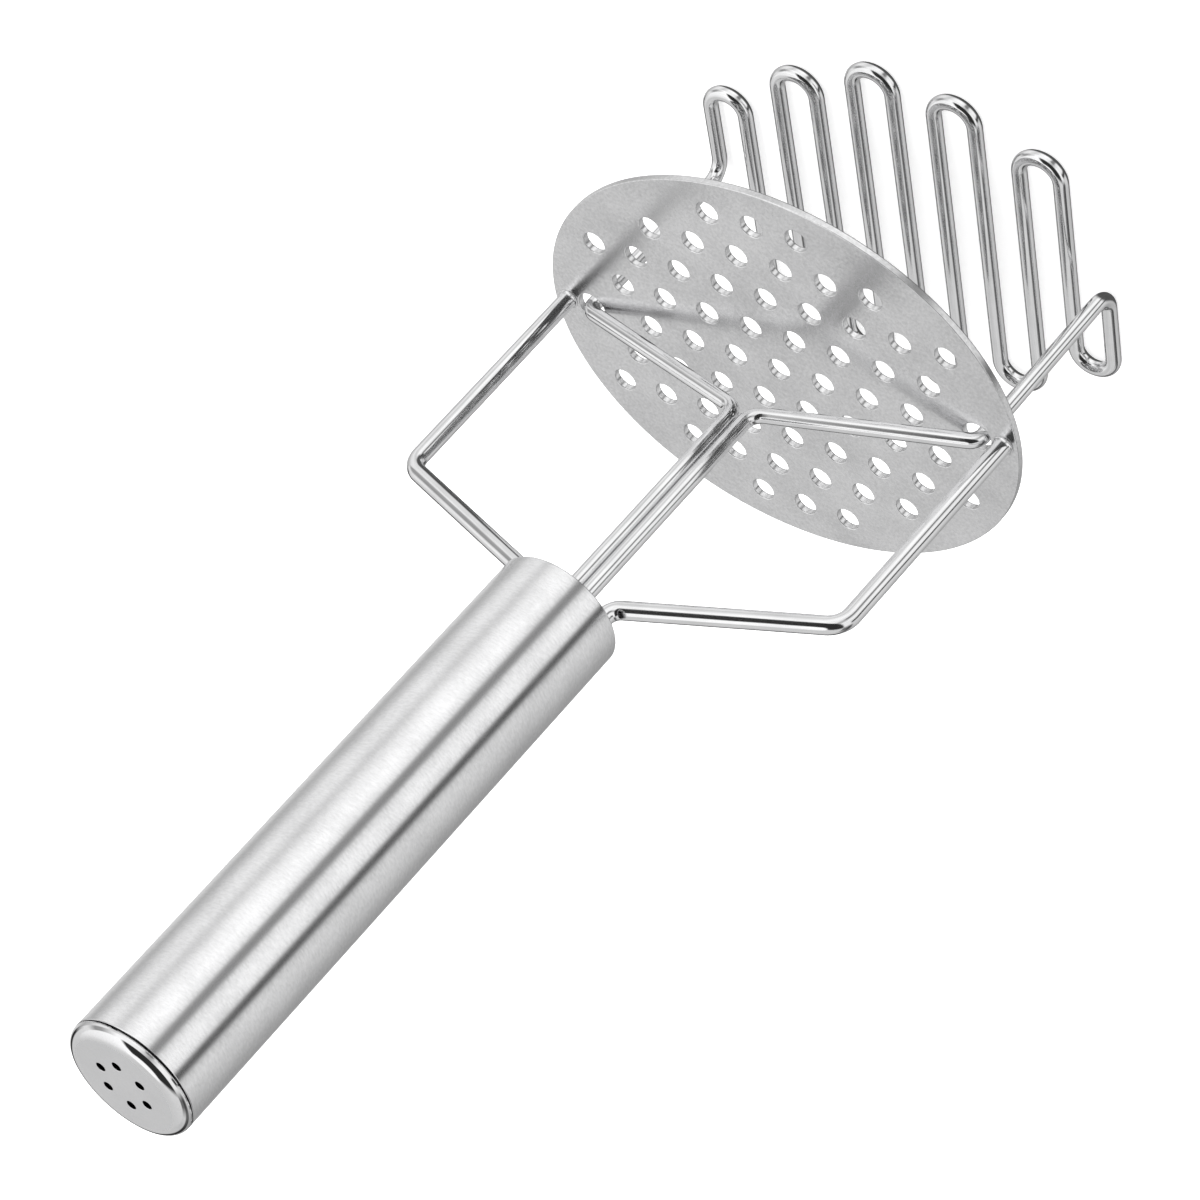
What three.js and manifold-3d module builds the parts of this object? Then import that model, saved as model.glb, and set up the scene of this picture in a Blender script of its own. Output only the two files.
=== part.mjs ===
// Spring-loaded potato ricer: a steel tube handle, a bent wire frame that carries a perforated oval plate,
// and below the plate a zigzag masher bent from one wire. The masher's two ends rise through the plate, meet
// on the axis and run up into the handle, where a spring drives them down. Pressed on the food, the masher
// slides up to the plate and the plate presses the food through its holes.
//
// Units are millimetres. +Z is up along the handle, X runs along the row of masher loops, and the origin is
// under the middle of the zigzag, on the surface that it stands on.

import * as THREE from 'three';
import { mergeVertices } from 'three/addons/utils/BufferGeometryUtils.js';
import Module from 'manifold-3d';

const wasm = await Module();
wasm.setup();

// ---------------------------------------------------------------- driving dimensions

const GAP = 0.3;                  // between pieces that touch or are joined
const SLIDE_GAP = 0.5;            // round a piece that slides
const SIDE_PLAY = 0.5;            // how far to +X the masher sits in its clearances

const PLATE_LENGTH = 105;         // oval plate, along X
const PLATE_WIDTH = 85;           // and along Y
const PLATE_THICKNESS = 1.5;
const PLATE_TOP = 45.85;          // height of the plate's upper face
const HOLE_DIAMETER = 4.8;
const HOLE_COLUMNS = 10.638;      // hole pitches in the plate's length
const HOLE_ROWS = 9.826;          // row pitches in the plate's width
const HOLES_PER_ROW = [7, 8, 9, 6, 3];   // middle row first, then the rows outwards on each side

const FRAME_WIRE = 3.6;           // wire diameter of the fixed frame
const FOOT_INSET = 1.3;           // between a foot of the frame and the plate's end
const SHOULDER_LEAN = 0.8;        // how far a leg of the frame leans inwards
const SHOULDER_DROP = 18.9;       // corner between leg and slanted run, below the handle
const SHOULDER_BEND = 4.5;
const STUB_INSET = 1.3;           // between the handle's bore and a frame wire that enters it
const STUB_DROP = 4.3;            // corner between slanted run and stub, below the handle
const STUB_BEND = 3.0;

const MASHER_WIRE = 3.1;          // wire diameter of the sliding masher
const LEG_INSET = 1.8;            // between a leg of the masher and the frame's foot outside it
const LEG_CLEARANCE = 1.45;       // how much larger a leg's hole in the plate is, in radius
const LEG_BEND = 4.0;             // radius of the bend from leg to zigzag
const ARM_SLOPE = 0.266;          // fall of an arm per millimetre outwards
const ARM_BEND = 2.6;             // radius of the bend from arm to leg
const NECK_BEND = 3.6;            // radius of the bend from the central pair to an arm
const PAIR_GAP = 0.3;             // between the two wires that run up the axis
const END_LOOP = 0.917;           // width of the zigzag's first and last loop, in widths of the others
const RUN_LEAN = 0.035;           // how far a run of the zigzag leans to +X per millimetre of +Y
const TIP_FLAT = 0.2;             // straight bit between the two bends of a loop's tip
const TIPS = [0.489, 0.734, 0.882, 0.833, 0.659];   // reach of the loops, in halves of the plate's width

const TUBE_DIAMETER = 25;
const TUBE_WALL = 0.8;
const TUBE_LENGTH = 119.8;
const TUBE_FOOT = 70.5;           // height of the tube's front edge above the plate
const FRONT_CAP_THICKNESS = 4.0;
const END_CAP_HEIGHT = 2.5;       // what stands out of the tube
const END_CAP_WALL = 1.6;
const END_CAP_ROUND = 2.2;        // radius of its polished rim
const END_CAP_SKIRT = 6.0;        // depth of its skirt in the tube
const VENT_DIAMETER = 1.9;
const VENT_RING = 4.95;           // radius of the ring of vents
const VENT_COUNT = 6;

const PLUNGER_FOOT = 9.0;         // height of the plunger above the front edge of the tube
const PLUNGER_HEIGHT = 14.0;
const PLUNGER_SOCKET = 10.0;      // depth of the pocket that takes the two wire ends
const SPRING_WIRE = 1.5;
const SPRING_CLEARANCE = 1.7;     // between the coils and the bore
const SPRING_ACTIVE_COILS = 13;
const SPRING_DEAD_COILS = 2;      // close-wound coils, one at each end
const PILOT_CLEARANCE = 1.75;     // between the coils and the stubs that centre them at both ends
const PILOT_HEIGHT = 4.0;
const SEAT_THICKNESS = 4.0;
const WELD_HEIGHT = 1.6;          // collars that hold the frame's wires behind the front cap
const WELD_WIDTH = 0.7;

const WIRE_SIDES = 8;             // faces round a wire
const BEND_STEP = Math.PI / 8;    // turn between two sections of a bend
const ROUND_SIDES = 48;           // faces round the handle

// ---------------------------------------------------------------- places that follow

const plateBottom = PLATE_TOP - PLATE_THICKNESS;
const tubeFoot = PLATE_TOP + TUBE_FOOT;
const tubeHead = tubeFoot + TUBE_LENGTH;
const boreRadius = TUBE_DIAMETER / 2 - TUBE_WALL;

const masherRadius = MASHER_WIRE / 2;
const frameRadius = FRAME_WIRE / 2;
const footX = PLATE_LENGTH / 2 - FOOT_INSET - frameRadius;
const stubX = boreRadius - STUB_INSET - frameRadius;
const legX = footX - frameRadius - LEG_INSET - masherRadius;
const legHoleRadius = masherRadius + LEG_CLEARANCE;
const legHoleX = legX + SIDE_PLAY + SLIDE_GAP - LEG_CLEARANCE;
const pairX = masherRadius + PAIR_GAP / 2;
const pairReach = pairX + masherRadius + SIDE_PLAY + SLIDE_GAP;   // what the sliding pair needs beside the axis

const runPitch = legX / (TIPS.length - 1 + END_LOOP);
const zigzagZ = masherRadius * Math.cos(Math.PI / WIRE_SIDES);    // its flats lie on the surface
// The underside of an arm clears the inner edge of the leg's hole by the gap.
const armFoot = PLATE_TOP + GAP + masherRadius * Math.hypot(1, ARM_SLOPE)
  - ARM_SLOPE * (legX - SIDE_PLAY - (legHoleX - legHoleRadius));
const armHead = armFoot + ARM_SLOPE * (legX - pairX);

const holePitch = PLATE_LENGTH / HOLE_COLUMNS;
const holeRowPitch = PLATE_WIDTH / HOLE_ROWS;

const plunger = { foot: tubeFoot + PLUNGER_FOOT, head: tubeFoot + PLUNGER_FOOT + PLUNGER_HEIGHT };
const seatHead = tubeHead - END_CAP_SKIRT;
const seat = { foot: seatHead - SEAT_THICKNESS, head: seatHead };
const springRadius = boreRadius - SPRING_CLEARANCE - SPRING_WIRE / 2;
const pilotRadius = springRadius - SPRING_WIRE / 2 - PILOT_CLEARANCE;

// ---------------------------------------------------------------- solids

/** A closed geometry as a manifold solid. */
function solid(geometry) {
  const bare = geometry.clone();
  bare.deleteAttribute('normal');
  bare.deleteAttribute('uv');
  const merged = mergeVertices(bare, 1e-4);
  return new wasm.Manifold(new wasm.Mesh({
    numProp: 3,
    vertProperties: merged.attributes.position.array,
    triVerts: new Uint32Array(merged.index.array),
  }));
}

/** A manifold solid as a geometry with flat-shaded faces. */
function geometryOf(body) {
  const { vertProperties, triVerts } = body.getMesh();
  const geometry = new THREE.BufferGeometry()
    .setAttribute('position', new THREE.BufferAttribute(new Float32Array(vertProperties), 3))
    .setIndex(new THREE.BufferAttribute(new Uint32Array(triVerts), 1));
  geometry.computeVertexNormals();
  return geometry;
}

/** A solid of revolution about Z from [radius, height] points that run up its outside. */
function turned(profile, sides = ROUND_SIDES) {
  const points = profile.map(([radius, height]) => new THREE.Vector2(radius, height));
  return new THREE.LatheGeometry(points, sides).rotateX(Math.PI / 2);
}

/** A closed ring's profile: the given points, and the first again. */
const closed = (profile) => [...profile, profile[0]];

/** A vertical prism on an outline, from one height to another. */
function prism(shape, from, to) {
  const options = { depth: to - from, bevelEnabled: false, curveSegments: WIRE_SIDES };
  return new THREE.ExtrudeGeometry(shape, options).translate(0, 0, from);
}

/** A vertical round bar or hole at x, y. */
function bar(radius, from, to, x = 0, y = 0) {
  return prism(new THREE.Shape().absarc(x, y, radius, 0, 2 * Math.PI), from, to);
}

/** The outline that goes round both wires of the pair with a clearance. */
function pairOutline(clearance) {
  const radius = masherRadius + clearance;
  return new THREE.Shape()
    .absarc(pairX, 0, radius, -Math.PI / 2, Math.PI / 2)
    .absarc(-pairX, 0, radius, Math.PI / 2, (3 * Math.PI) / 2);
}

// ---------------------------------------------------------------- bent wire

/** A path given by its sections: a swept wire has one section at each station and none between. */
class StationCurve extends THREE.Curve {
  constructor(stations) {
    super();
    this.stations = stations;
  }

  at(t) {
    return this.stations[Math.round(t * (this.stations.length - 1))];
  }

  getUtoTmapping(u) {
    return u;
  }

  getPoint(t, target = new THREE.Vector3()) {
    return target.copy(this.at(t).point);
  }

  getTangent(t, target = new THREE.Vector3()) {
    return target.copy(this.at(t).tangent);
  }
}

/** The stations round one corner of a path: both ends of its bend, and steps between. */
function bendStations(before, corner, after) {
  const inward = corner.point.clone().sub(before.point).normalize();
  const outward = after.point.clone().sub(corner.point).normalize();
  const turn = inward.angleTo(outward);
  const setback = corner.bend * Math.tan(turn / 2);
  const centreward = outward.clone().sub(inward).normalize();
  const centre = corner.point.clone().addScaledVector(centreward, corner.bend / Math.cos(turn / 2));
  const spoke = corner.point.clone().addScaledVector(inward, -setback).sub(centre);
  const axis = inward.clone().cross(outward).normalize();
  const steps = Math.ceil(turn / BEND_STEP - 1e-9);
  return Array.from({ length: steps + 1 }, (_, i) => {
    const angle = (turn * i) / steps;
    return {
      point: spoke.clone().applyAxisAngle(axis, angle).add(centre),
      tangent: inward.clone().applyAxisAngle(axis, angle),
    };
  });
}

/** A wire through corners [x, y, z, bend radius], as a swept polygon that encloses no gap at its bends. */
function wire(diameter, corners) {
  const path = corners.map(([x, y, z, bend = 0]) => ({ point: new THREE.Vector3(x, y, z), bend }));
  const ends = [path[0], path[path.length - 1]];
  const [first, last] = ends.map((end, i) => {
    const tangent = (i ? path[path.length - 2] : path[1]).point.clone().sub(end.point).normalize();
    return { point: end.point, tangent: i ? tangent.negate() : tangent };
  });
  const bends = path.slice(1, -1).flatMap((corner, i) => bendStations(path[i], corner, path[i + 2]));
  const stations = [first, ...bends, last].filter(
    (station, i, all) => i === 0 || station.point.distanceTo(all[i - 1].point) > 1e-6);

  const radius = diameter / 2;
  const section = new THREE.Shape(Array.from({ length: WIRE_SIDES }, (_, i) => {
    const angle = ((i + 0.5) * 2 * Math.PI) / WIRE_SIDES;
    return new THREE.Vector2(radius * Math.cos(angle), radius * Math.sin(angle));
  }));
  return new THREE.ExtrudeGeometry(section, {
    steps: stations.length - 1,
    extrudePath: new StationCurve(stations),
    bevelEnabled: false,
  });
}

// ---------------------------------------------------------------- masher, which slides

/** The wire's corners from the middle of the zigzag's end run, up one leg and arm, to the end in the handle. */
function masherSide(side) {
  return [
    [side * legX, 0, zigzagZ, LEG_BEND],
    [side * legX, 0, armFoot, ARM_BEND],
    [side * pairX, 0, armHead, NECK_BEND],
    [side * pairX, 0, plunger.foot + PLUNGER_SOCKET - GAP],
  ];
}

/** Run k of the zigzag crosses the X axis here. The end runs stand at the legs, and the others are even. */
function runX(k) {
  return THREE.MathUtils.clamp((k - TIPS.length) * runPitch, -legX, legX);
}

/** The zigzag's corners: loop k joins runs k and k + 1, and the loops turn at alternate ends. */
function zigzagCorners() {
  const reach = TIPS.map((share) => (share * PLATE_WIDTH) / 2);
  return Array.from({ length: 2 * reach.length }, (_, k) => {
    const pair = k >> 1;
    const y = k % 2 ? -reach[reach.length - 1 - pair] : reach[pair];
    const bend = (runX(k + 1) - runX(k) - TIP_FLAT) / 2;
    return [k, k + 1].map((run) => [runX(run) + RUN_LEAN * y, y, zigzagZ, bend]);
  }).flat();
}

function masherWire() {
  return wire(MASHER_WIRE, [...masherSide(-1).reverse(), ...zigzagCorners(), ...masherSide(1)]);
}

function plungerBody() {
  const radius = boreRadius - SLIDE_GAP - SIDE_PLAY;
  const body = turned([
    [0, plunger.foot], [radius - 1, plunger.foot], [radius, plunger.foot + 1],
    [radius, plunger.head - 1], [radius - 1, plunger.head], [pilotRadius, plunger.head],
    [pilotRadius, plunger.head + PILOT_HEIGHT - 1], [pilotRadius - 1, plunger.head + PILOT_HEIGHT],
    [0, plunger.head + PILOT_HEIGHT],
  ]);
  const socket = prism(pairOutline(GAP), plunger.foot - 1, plunger.foot + PLUNGER_SOCKET);
  return geometryOf(solid(body).subtract(solid(socket)));
}

// ---------------------------------------------------------------- spring

/** A compression spring between the plunger and its seat, with a close-wound coil at each end. */
class SpringCurve extends THREE.Curve {
  constructor() {
    super();
    this.coils = SPRING_ACTIVE_COILS + SPRING_DEAD_COILS;
    this.foot = plunger.head + GAP + SPRING_WIRE / 2;
    this.head = seat.foot - GAP - SPRING_WIRE / 2;
    this.deadRise = SPRING_WIRE + GAP;
  }

  getUtoTmapping(u) {
    return u;
  }

  getPoint(t, target = new THREE.Vector3()) {
    const turns = t * this.coils;
    const dead = SPRING_DEAD_COILS / 2;
    const open = THREE.MathUtils.clamp((turns - dead) / SPRING_ACTIVE_COILS, 0, 1);
    const deadTurns = turns - open * SPRING_ACTIVE_COILS;
    const openRise = this.head - this.foot - SPRING_DEAD_COILS * this.deadRise;
    const angle = 2 * Math.PI * turns;
    return target.set(springRadius * Math.cos(angle), springRadius * Math.sin(angle),
      this.foot + deadTurns * this.deadRise + open * openRise);
  }
}

function returnSpring() {
  const curve = new SpringCurve();
  const radius = SPRING_WIRE / 2;
  const section = new THREE.Shape(Array.from({ length: 6 }, (_, i) => {
    const angle = (i * Math.PI) / 3;
    return new THREE.Vector2(radius * Math.cos(angle), radius * Math.sin(angle));
  }));
  return new THREE.ExtrudeGeometry(section, {
    steps: 12 * curve.coils,
    extrudePath: curve,
    bevelEnabled: false,
  });
}

function springSeat() {
  const radius = boreRadius - GAP;
  return turned([
    [0, seat.foot - PILOT_HEIGHT], [pilotRadius - 1, seat.foot - PILOT_HEIGHT],
    [pilotRadius, seat.foot - PILOT_HEIGHT + 1], [pilotRadius, seat.foot],
    [radius, seat.foot], [radius, seat.head], [0, seat.head],
  ]);
}

// ---------------------------------------------------------------- frame and plate

function frameWire(side) {
  return wire(FRAME_WIRE, [
    [side * footX, 0, PLATE_TOP + GAP],
    [side * (footX - SHOULDER_LEAN), 0, tubeFoot - SHOULDER_DROP, SHOULDER_BEND],
    [side * stubX, 0, tubeFoot - STUB_DROP, STUB_BEND],
    [side * stubX, 0, tubeFoot + FRONT_CAP_THICKNESS + 2 * GAP + WELD_HEIGHT],
  ]);
}

/** A collar of weld round a frame wire's end, behind the front cap. */
function frameWeld(side) {
  const foot = tubeFoot + FRONT_CAP_THICKNESS + GAP;
  const inner = frameRadius + GAP;
  const outer = Math.min(inner + WELD_WIDTH, stubX - pairReach);
  const profile = closed([[inner, foot], [outer, foot], [outer, foot + WELD_HEIGHT / 2],
    [inner + GAP / 2, foot + WELD_HEIGHT], [inner, foot + WELD_HEIGHT]]);
  return turned(profile, 16).translate(side * stubX, 0, 0);
}

/** A round hole in an outline, drawn with so many sides. */
function roundHole(x, y, radius, sides) {
  return new THREE.Path(Array.from({ length: sides }, (_, i) => {
    const angle = (-i * 2 * Math.PI) / sides;
    return new THREE.Vector2(x + radius * Math.cos(angle), y + radius * Math.sin(angle));
  }));
}

/** The plate's holes: rows of evenly spaced ones, and one for each leg of the masher. */
function plateHoles() {
  const rows = HOLES_PER_ROW.flatMap((count, row) => {
    const xs = Array.from({ length: count }, (_, i) => (i - (count - 1) / 2) * holePitch);
    const ys = row ? [row * holeRowPitch, -row * holeRowPitch] : [0];
    return ys.flatMap((y) => xs.map((x) => roundHole(x, y, HOLE_DIAMETER / 2, 12)));
  });
  return [...rows, ...[-legHoleX, legHoleX].map((x) => roundHole(x, 0, legHoleRadius, 24))];
}

function plate() {
  const outline = new THREE.EllipseCurve(0, 0, PLATE_LENGTH / 2, PLATE_WIDTH / 2).getPoints(72).slice(0, -1);
  const shape = new THREE.Shape(outline);
  shape.holes = plateHoles();
  return prism(shape, plateBottom, PLATE_TOP);
}

// ---------------------------------------------------------------- handle

function handleTube() {
  const outer = TUBE_DIAMETER / 2;
  const edge = 0.25;
  return turned(closed([
    [boreRadius, tubeFoot], [outer - edge, tubeFoot], [outer, tubeFoot + edge],
    [outer, tubeHead - edge], [outer - edge, tubeHead], [boreRadius, tubeHead],
  ]));
}

function frontCap() {
  const radius = boreRadius - GAP;
  const head = tubeFoot + FRONT_CAP_THICKNESS;
  const disc = turned([[0, tubeFoot], [radius - 0.5, tubeFoot], [radius, tubeFoot + 0.5], [radius, head], [0, head]]);
  const below = tubeFoot - 1;
  const above = head + 1;
  return geometryOf([-1, 1]
    .map((side) => solid(bar(frameRadius + GAP, below, above, side * stubX)))
    .reduce((body, hole) => body.subtract(hole), solid(disc))
    .subtract(solid(prism(pairOutline(SLIDE_GAP + SIDE_PLAY), below, above))));
}

function endCap() {
  const outer = TUBE_DIAMETER / 2;
  const skirtOuter = boreRadius - GAP;
  const skirtInner = skirtOuter - END_CAP_WALL;
  const seam = tubeHead + GAP;
  const top = tubeHead + END_CAP_HEIGHT;
  const rim = Array.from({ length: 7 }, (_, i) => {
    const angle = (i / 6) * (Math.PI / 2);
    return [outer - END_CAP_ROUND + END_CAP_ROUND * Math.cos(angle),
      top - END_CAP_ROUND + END_CAP_ROUND * Math.sin(angle)];
  });
  const shell = turned([
    [0, top - END_CAP_WALL], [skirtInner, top - END_CAP_WALL], [skirtInner, seam - END_CAP_SKIRT],
    [skirtOuter, seam - END_CAP_SKIRT], [skirtOuter, seam], ...rim, [0, top],
  ]);
  return geometryOf(Array.from({ length: VENT_COUNT }, (_, i) => {
    const angle = ((i + 0.5) * 2 * Math.PI) / VENT_COUNT;
    return solid(bar(VENT_DIAMETER / 2, top - END_CAP_WALL - 1, top + 1,
      VENT_RING * Math.cos(angle), VENT_RING * Math.sin(angle)));
  }).reduce((body, vent) => body.subtract(vent), solid(shell)));
}

// ---------------------------------------------------------------- scene graph

/** One named piece with its own material. */
function piece(name, geometry, { color, roughness, metalness = 1 }) {
  const mesh = new THREE.Mesh(geometry, new THREE.MeshStandardMaterial({ color, roughness, metalness }));
  mesh.name = name;
  return mesh;
}

const BRUSHED = { color: 0xc9cacb, roughness: 0.34 };
const POLISHED = { color: 0xd4d5d6, roughness: 0.12 };
const SATIN = { color: 0xbfc0c1, roughness: 0.42 };
const WELD = { color: 0x9d9b98, roughness: 0.5 };
const SPRING_STEEL = { color: 0x8f9092, roughness: 0.3 };
const NYLON = { color: 0x2b2c2e, roughness: 0.55, metalness: 0 };

const handle = new THREE.Group();
handle.add(
  piece('handle_tube', handleTube(), BRUSHED),
  piece('end_cap', endCap(), POLISHED),
  piece('front_cap', frontCap(), SATIN),
  piece('spring_seat', springSeat(), NYLON),
);

const frame = new THREE.Group();
frame.add(piece('perforated_plate', plate(), SATIN));
for (const [suffix, side] of [['left', -1], ['right', 1]]) {
  frame.add(
    piece(`frame_wire_${suffix}`, frameWire(side), POLISHED),
    piece(`frame_weld_${suffix}`, frameWeld(side), WELD),
  );
}

const masher = new THREE.Group();
masher.position.x = SIDE_PLAY;
masher.add(
  piece('masher_wire', masherWire(), POLISHED),
  piece('plunger', plungerBody(), NYLON),
);

const ricer = new THREE.Group();
ricer.add(handle, frame, masher, piece('return_spring', returnSpring(), SPRING_STEEL));

export default ricer;
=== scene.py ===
"""Potato ricer in stainless steel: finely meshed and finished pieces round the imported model.

Sizes are in millimetres in the row's frame, and every mesh is written in metres. +Z runs up the handle, +X
along the row of the masher's loops, and the ricer stands on its zigzag at Z = 0.
"""

import logging
import math
from dataclasses import dataclass, field
from enum import Enum
from functools import cache
from typing import Callable, Sequence

import bmesh
import bpy
import numpy as np
from mathutils import Matrix, Vector
from mathutils.geometry import delaunay_2d_cdt


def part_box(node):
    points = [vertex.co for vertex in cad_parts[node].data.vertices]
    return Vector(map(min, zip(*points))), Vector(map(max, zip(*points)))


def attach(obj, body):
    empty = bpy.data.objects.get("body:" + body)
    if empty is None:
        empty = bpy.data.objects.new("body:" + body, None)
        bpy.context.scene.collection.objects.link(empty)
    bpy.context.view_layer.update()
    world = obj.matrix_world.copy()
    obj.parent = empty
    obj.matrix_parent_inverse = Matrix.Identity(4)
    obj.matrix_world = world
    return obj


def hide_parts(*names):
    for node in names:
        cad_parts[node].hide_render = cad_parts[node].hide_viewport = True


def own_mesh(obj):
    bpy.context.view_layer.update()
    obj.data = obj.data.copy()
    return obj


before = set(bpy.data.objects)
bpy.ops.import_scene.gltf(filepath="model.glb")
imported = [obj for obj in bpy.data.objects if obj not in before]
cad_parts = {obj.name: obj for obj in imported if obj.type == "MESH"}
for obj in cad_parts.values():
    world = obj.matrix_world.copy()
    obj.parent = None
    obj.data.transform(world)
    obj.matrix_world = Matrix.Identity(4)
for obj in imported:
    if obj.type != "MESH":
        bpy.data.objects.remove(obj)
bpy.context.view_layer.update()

LOG = logging.getLogger("ricer")
MM = 0.001
TURN = 2 * math.pi
END_EASE = 0.12  # width of the eased edge of a wire's end, in radii of the wire
FLARE_RINGS = 6  # rings in a widened foot
FLAT_ABOVE = 0.9999  # a face whose normal's height is over this is shaded flat
MERGE_POINTS = 2e-7  # points nearer than this are one, in metres
MERGE_EDGE = 1e-6  # the same in a level face, in millimetres
TINY_RUN = 1e-4  # a length under this, in millimetres, is none
SUPPORT_REACH = 0.4  # distance of a support ring from a bend, in diameters of the wire
LONG_RUN = 3  # a straight is long from this many such distances
SUPPORT = 0.25  # distance of a support point from a corner's arc, at most, in millimetres
SOFT = 0.00005  # width of the border of a part darkened with painted shade, in metres
WORN_SHARE = 0.4  # mean share of a finish's darker colour
VENT_REACH = 0.9  # where the painted shade in the vents starts to fade, in shares of the radius where the polish starts
PAINTED_SHADE_COLOUR = (0.015, 0.015, 0.016)  # painted shade: colour painted on the metal in a seam, a vent or the bore, for the shade that falls there
SENSOR = 36.0  # width of the camera's sensor, in millimetres
CLIP = (0.02, 50.0)  # nearest and farthest that the camera sees, in metres
FLOOR_RINGS = (0.0, 0.02, 0.05, 0.15, 0.4, 1.0)  # the floor's rings, in shares of its radius
WALL_STEPS = 12  # steps in the floor's rise into the wall
FLOOR_SIDES = 96
PAPER_GLOW = 0.62
# Where each part of the tent starts and is whole, as heights on a sphere of radius 1 round the object.
HORIZON, CROWN, TOP = (-0.06, 0.06), (0.38, 0.46), (0.93, 0.97)
BAND_FOOT, BAND_HEAD = (-0.12, -0.05), (0.12, 0.22)
GROUND = (-0.80, -0.66)
TOP_LIGHT, BAND_LIGHT, GROUND_LIGHT = 1.2, 0.03, 0.10  # brightness of the tent's top, dark band and foot


class Body(Enum):
    """The two rigid bodies of the ricer."""

    HANDLE = "handle_and_plate"
    MASHER = "masher"


class Slot(Enum):
    """The record's material slots."""

    TUBE = "brushed_steel"
    CAP = "polished_cap"
    WIRE = "polished_wire"
    SHEET = "satin_steel"
    WELD = "weld"
    SPRING = "spring_steel"
    NYLON = "nylon"


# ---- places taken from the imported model


@dataclass(frozen=True)
class Span:
    """A node's box, in millimetres.

    Args:
        low: its lowest corner.
        high: its highest corner.
    """

    low: np.ndarray
    high: np.ndarray

    @classmethod
    def of(cls, node: str) -> "Span":
        """The box of the CAD node of that name."""
        low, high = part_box(node)
        return cls(np.array(low) / MM, np.array(high) / MM)

    @property
    def size(self) -> np.ndarray:
        """The lengths of the box's sides."""
        return self.high - self.low


# ---- meshes


def circle(count: int, first: float = 0.0) -> np.ndarray:
    """Points evenly round the unit circle, the first of them that share of a step past +X."""
    angles = TURN * (np.arange(count) + first) / count
    return np.stack((np.cos(angles), np.sin(angles)), axis=1)


def unit(vectors: np.ndarray) -> np.ndarray:
    """Vectors, one a row, at unit length."""
    return vectors / np.linalg.norm(vectors, axis=-1, keepdims=True)


def rounded_profile(points: Sequence[tuple[float, float, float]], steps: int = 5) -> np.ndarray:
    """A polyline whose corners are rounded.

    A corner of radius r is replaced by the arc that touches both sides, which starts r * tan(turn / 2) before
    it and whose point at angle a is centre + spoke cos a + inward * r sin a. A support point on each side keeps
    the shading of a long side straight.

    Args:
        points: (across, height, corner radius) for each corner.
        steps: steps in each arc.

    Returns:
        The rounded polyline, one (across, height) a row.
    """
    path = np.array(points, float)
    made = [path[0, :2]]
    for before, corner, after in zip(path[:-2], path[1:-1], path[2:]):
        here, radius = corner[:2], corner[2]
        inward, outward = unit(here - before[:2]), unit(after[:2] - here)
        turn = math.acos(float(np.clip(inward @ outward, -1, 1)))
        setback = radius * math.tan(turn / 2)
        centre = here + unit(outward - inward) * radius / math.cos(turn / 2)
        spoke = here - inward * setback - centre
        angles = np.linspace(0, turn, steps + 1)[:, None]
        arc = centre + np.cos(angles) * spoke + np.sin(angles) * inward * radius
        support = min(0.5 * radius, SUPPORT)
        made += [arc[0] - inward * support, *arc, arc[-1] + outward * support]
    made.append(path[-1, :2])
    return np.array(made)


@dataclass
class Skin:
    """Patches of points and faces that close into one solid's surface.

    Args:
        points: arrays of points, in millimetres.
        faces: lists of faces on those points.
        maps: one (across, along) pair for each point, where a finish follows the surface.
    """

    points: list[np.ndarray] = field(default_factory=list)
    faces: list[list[int]] = field(default_factory=list)
    maps: list[np.ndarray] = field(default_factory=list)

    def add(self, points: np.ndarray, faces: np.ndarray, chart: np.ndarray | None = None) -> None:
        """Adds points and the faces on them, and each point's (across, along) pair where there is a chart."""
        self.faces += (faces + sum(len(patch) for patch in self.points)).tolist()
        self.points.append(points)
        self.maps.append(np.zeros((len(points), 2)) if chart is None else chart.reshape(-1, 2))

    def add_grid(self, grid: np.ndarray, chart: np.ndarray | None = None) -> None:
        """Adds a grid of points, whose rows close on themselves, and the faces between them.

        Args:
            grid: the points as (rows, columns, 3).
            chart: the (across, along) pair of each point, as (rows, columns, 2).
        """
        index = np.arange(grid.shape[0] * grid.shape[1]).reshape(grid.shape[:2])
        index = np.concatenate((index, index[:, :1]), axis=1)
        quads = np.stack((index[:-1, :-1], index[:-1, 1:], index[1:, 1:], index[1:, :-1]), axis=-1)
        self.add(grid.reshape(-1, 3), quads.reshape(-1, 4), chart)

    def add_fan(self, ring: np.ndarray) -> None:
        """Closes a ring of points with triangles to its middle."""
        index = np.arange(len(ring))
        fan = np.stack((index, np.roll(index, -1), np.full(len(ring), len(ring))), axis=1)
        self.add(np.vstack((ring, ring.mean(axis=0))), fan)

    def build(self, name: str) -> bpy.types.Object:
        """Makes the object: patches welded, faces outwards, round parts shaded smooth and level faces flat.

        Args:
            name: the piece's name.

        Returns:
            The new object, at the origin, with its place in its mesh.
        """
        mesh = bpy.data.meshes.new(name)
        mesh.from_pydata((np.vstack(self.points) * MM).tolist(), [], self.faces)
        layer = mesh.uv_layers.new(name="surface")
        corners = np.empty(len(mesh.loops), np.int32)
        mesh.loops.foreach_get("vertex_index", corners)
        layer.data.foreach_set("uv", np.vstack(self.maps)[corners].astype(np.float32).ravel())
        shell = bmesh.new()
        shell.from_mesh(mesh)
        bmesh.ops.remove_doubles(shell, verts=shell.verts, dist=MERGE_POINTS)
        bmesh.ops.recalc_face_normals(shell, faces=shell.faces)
        shell.to_mesh(mesh)
        shell.free()
        normals = np.empty(3 * len(mesh.polygons), np.float32)
        mesh.polygons.foreach_get("normal", normals)
        round_faces = np.abs(normals.reshape(-1, 3)[:, 2]) < FLAT_ABOVE
        mesh.polygons.foreach_set("use_smooth", round_faces)
        mesh.update()
        piece = bpy.data.objects.new(name, mesh)
        bpy.context.scene.collection.objects.link(piece)
        return piece


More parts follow.
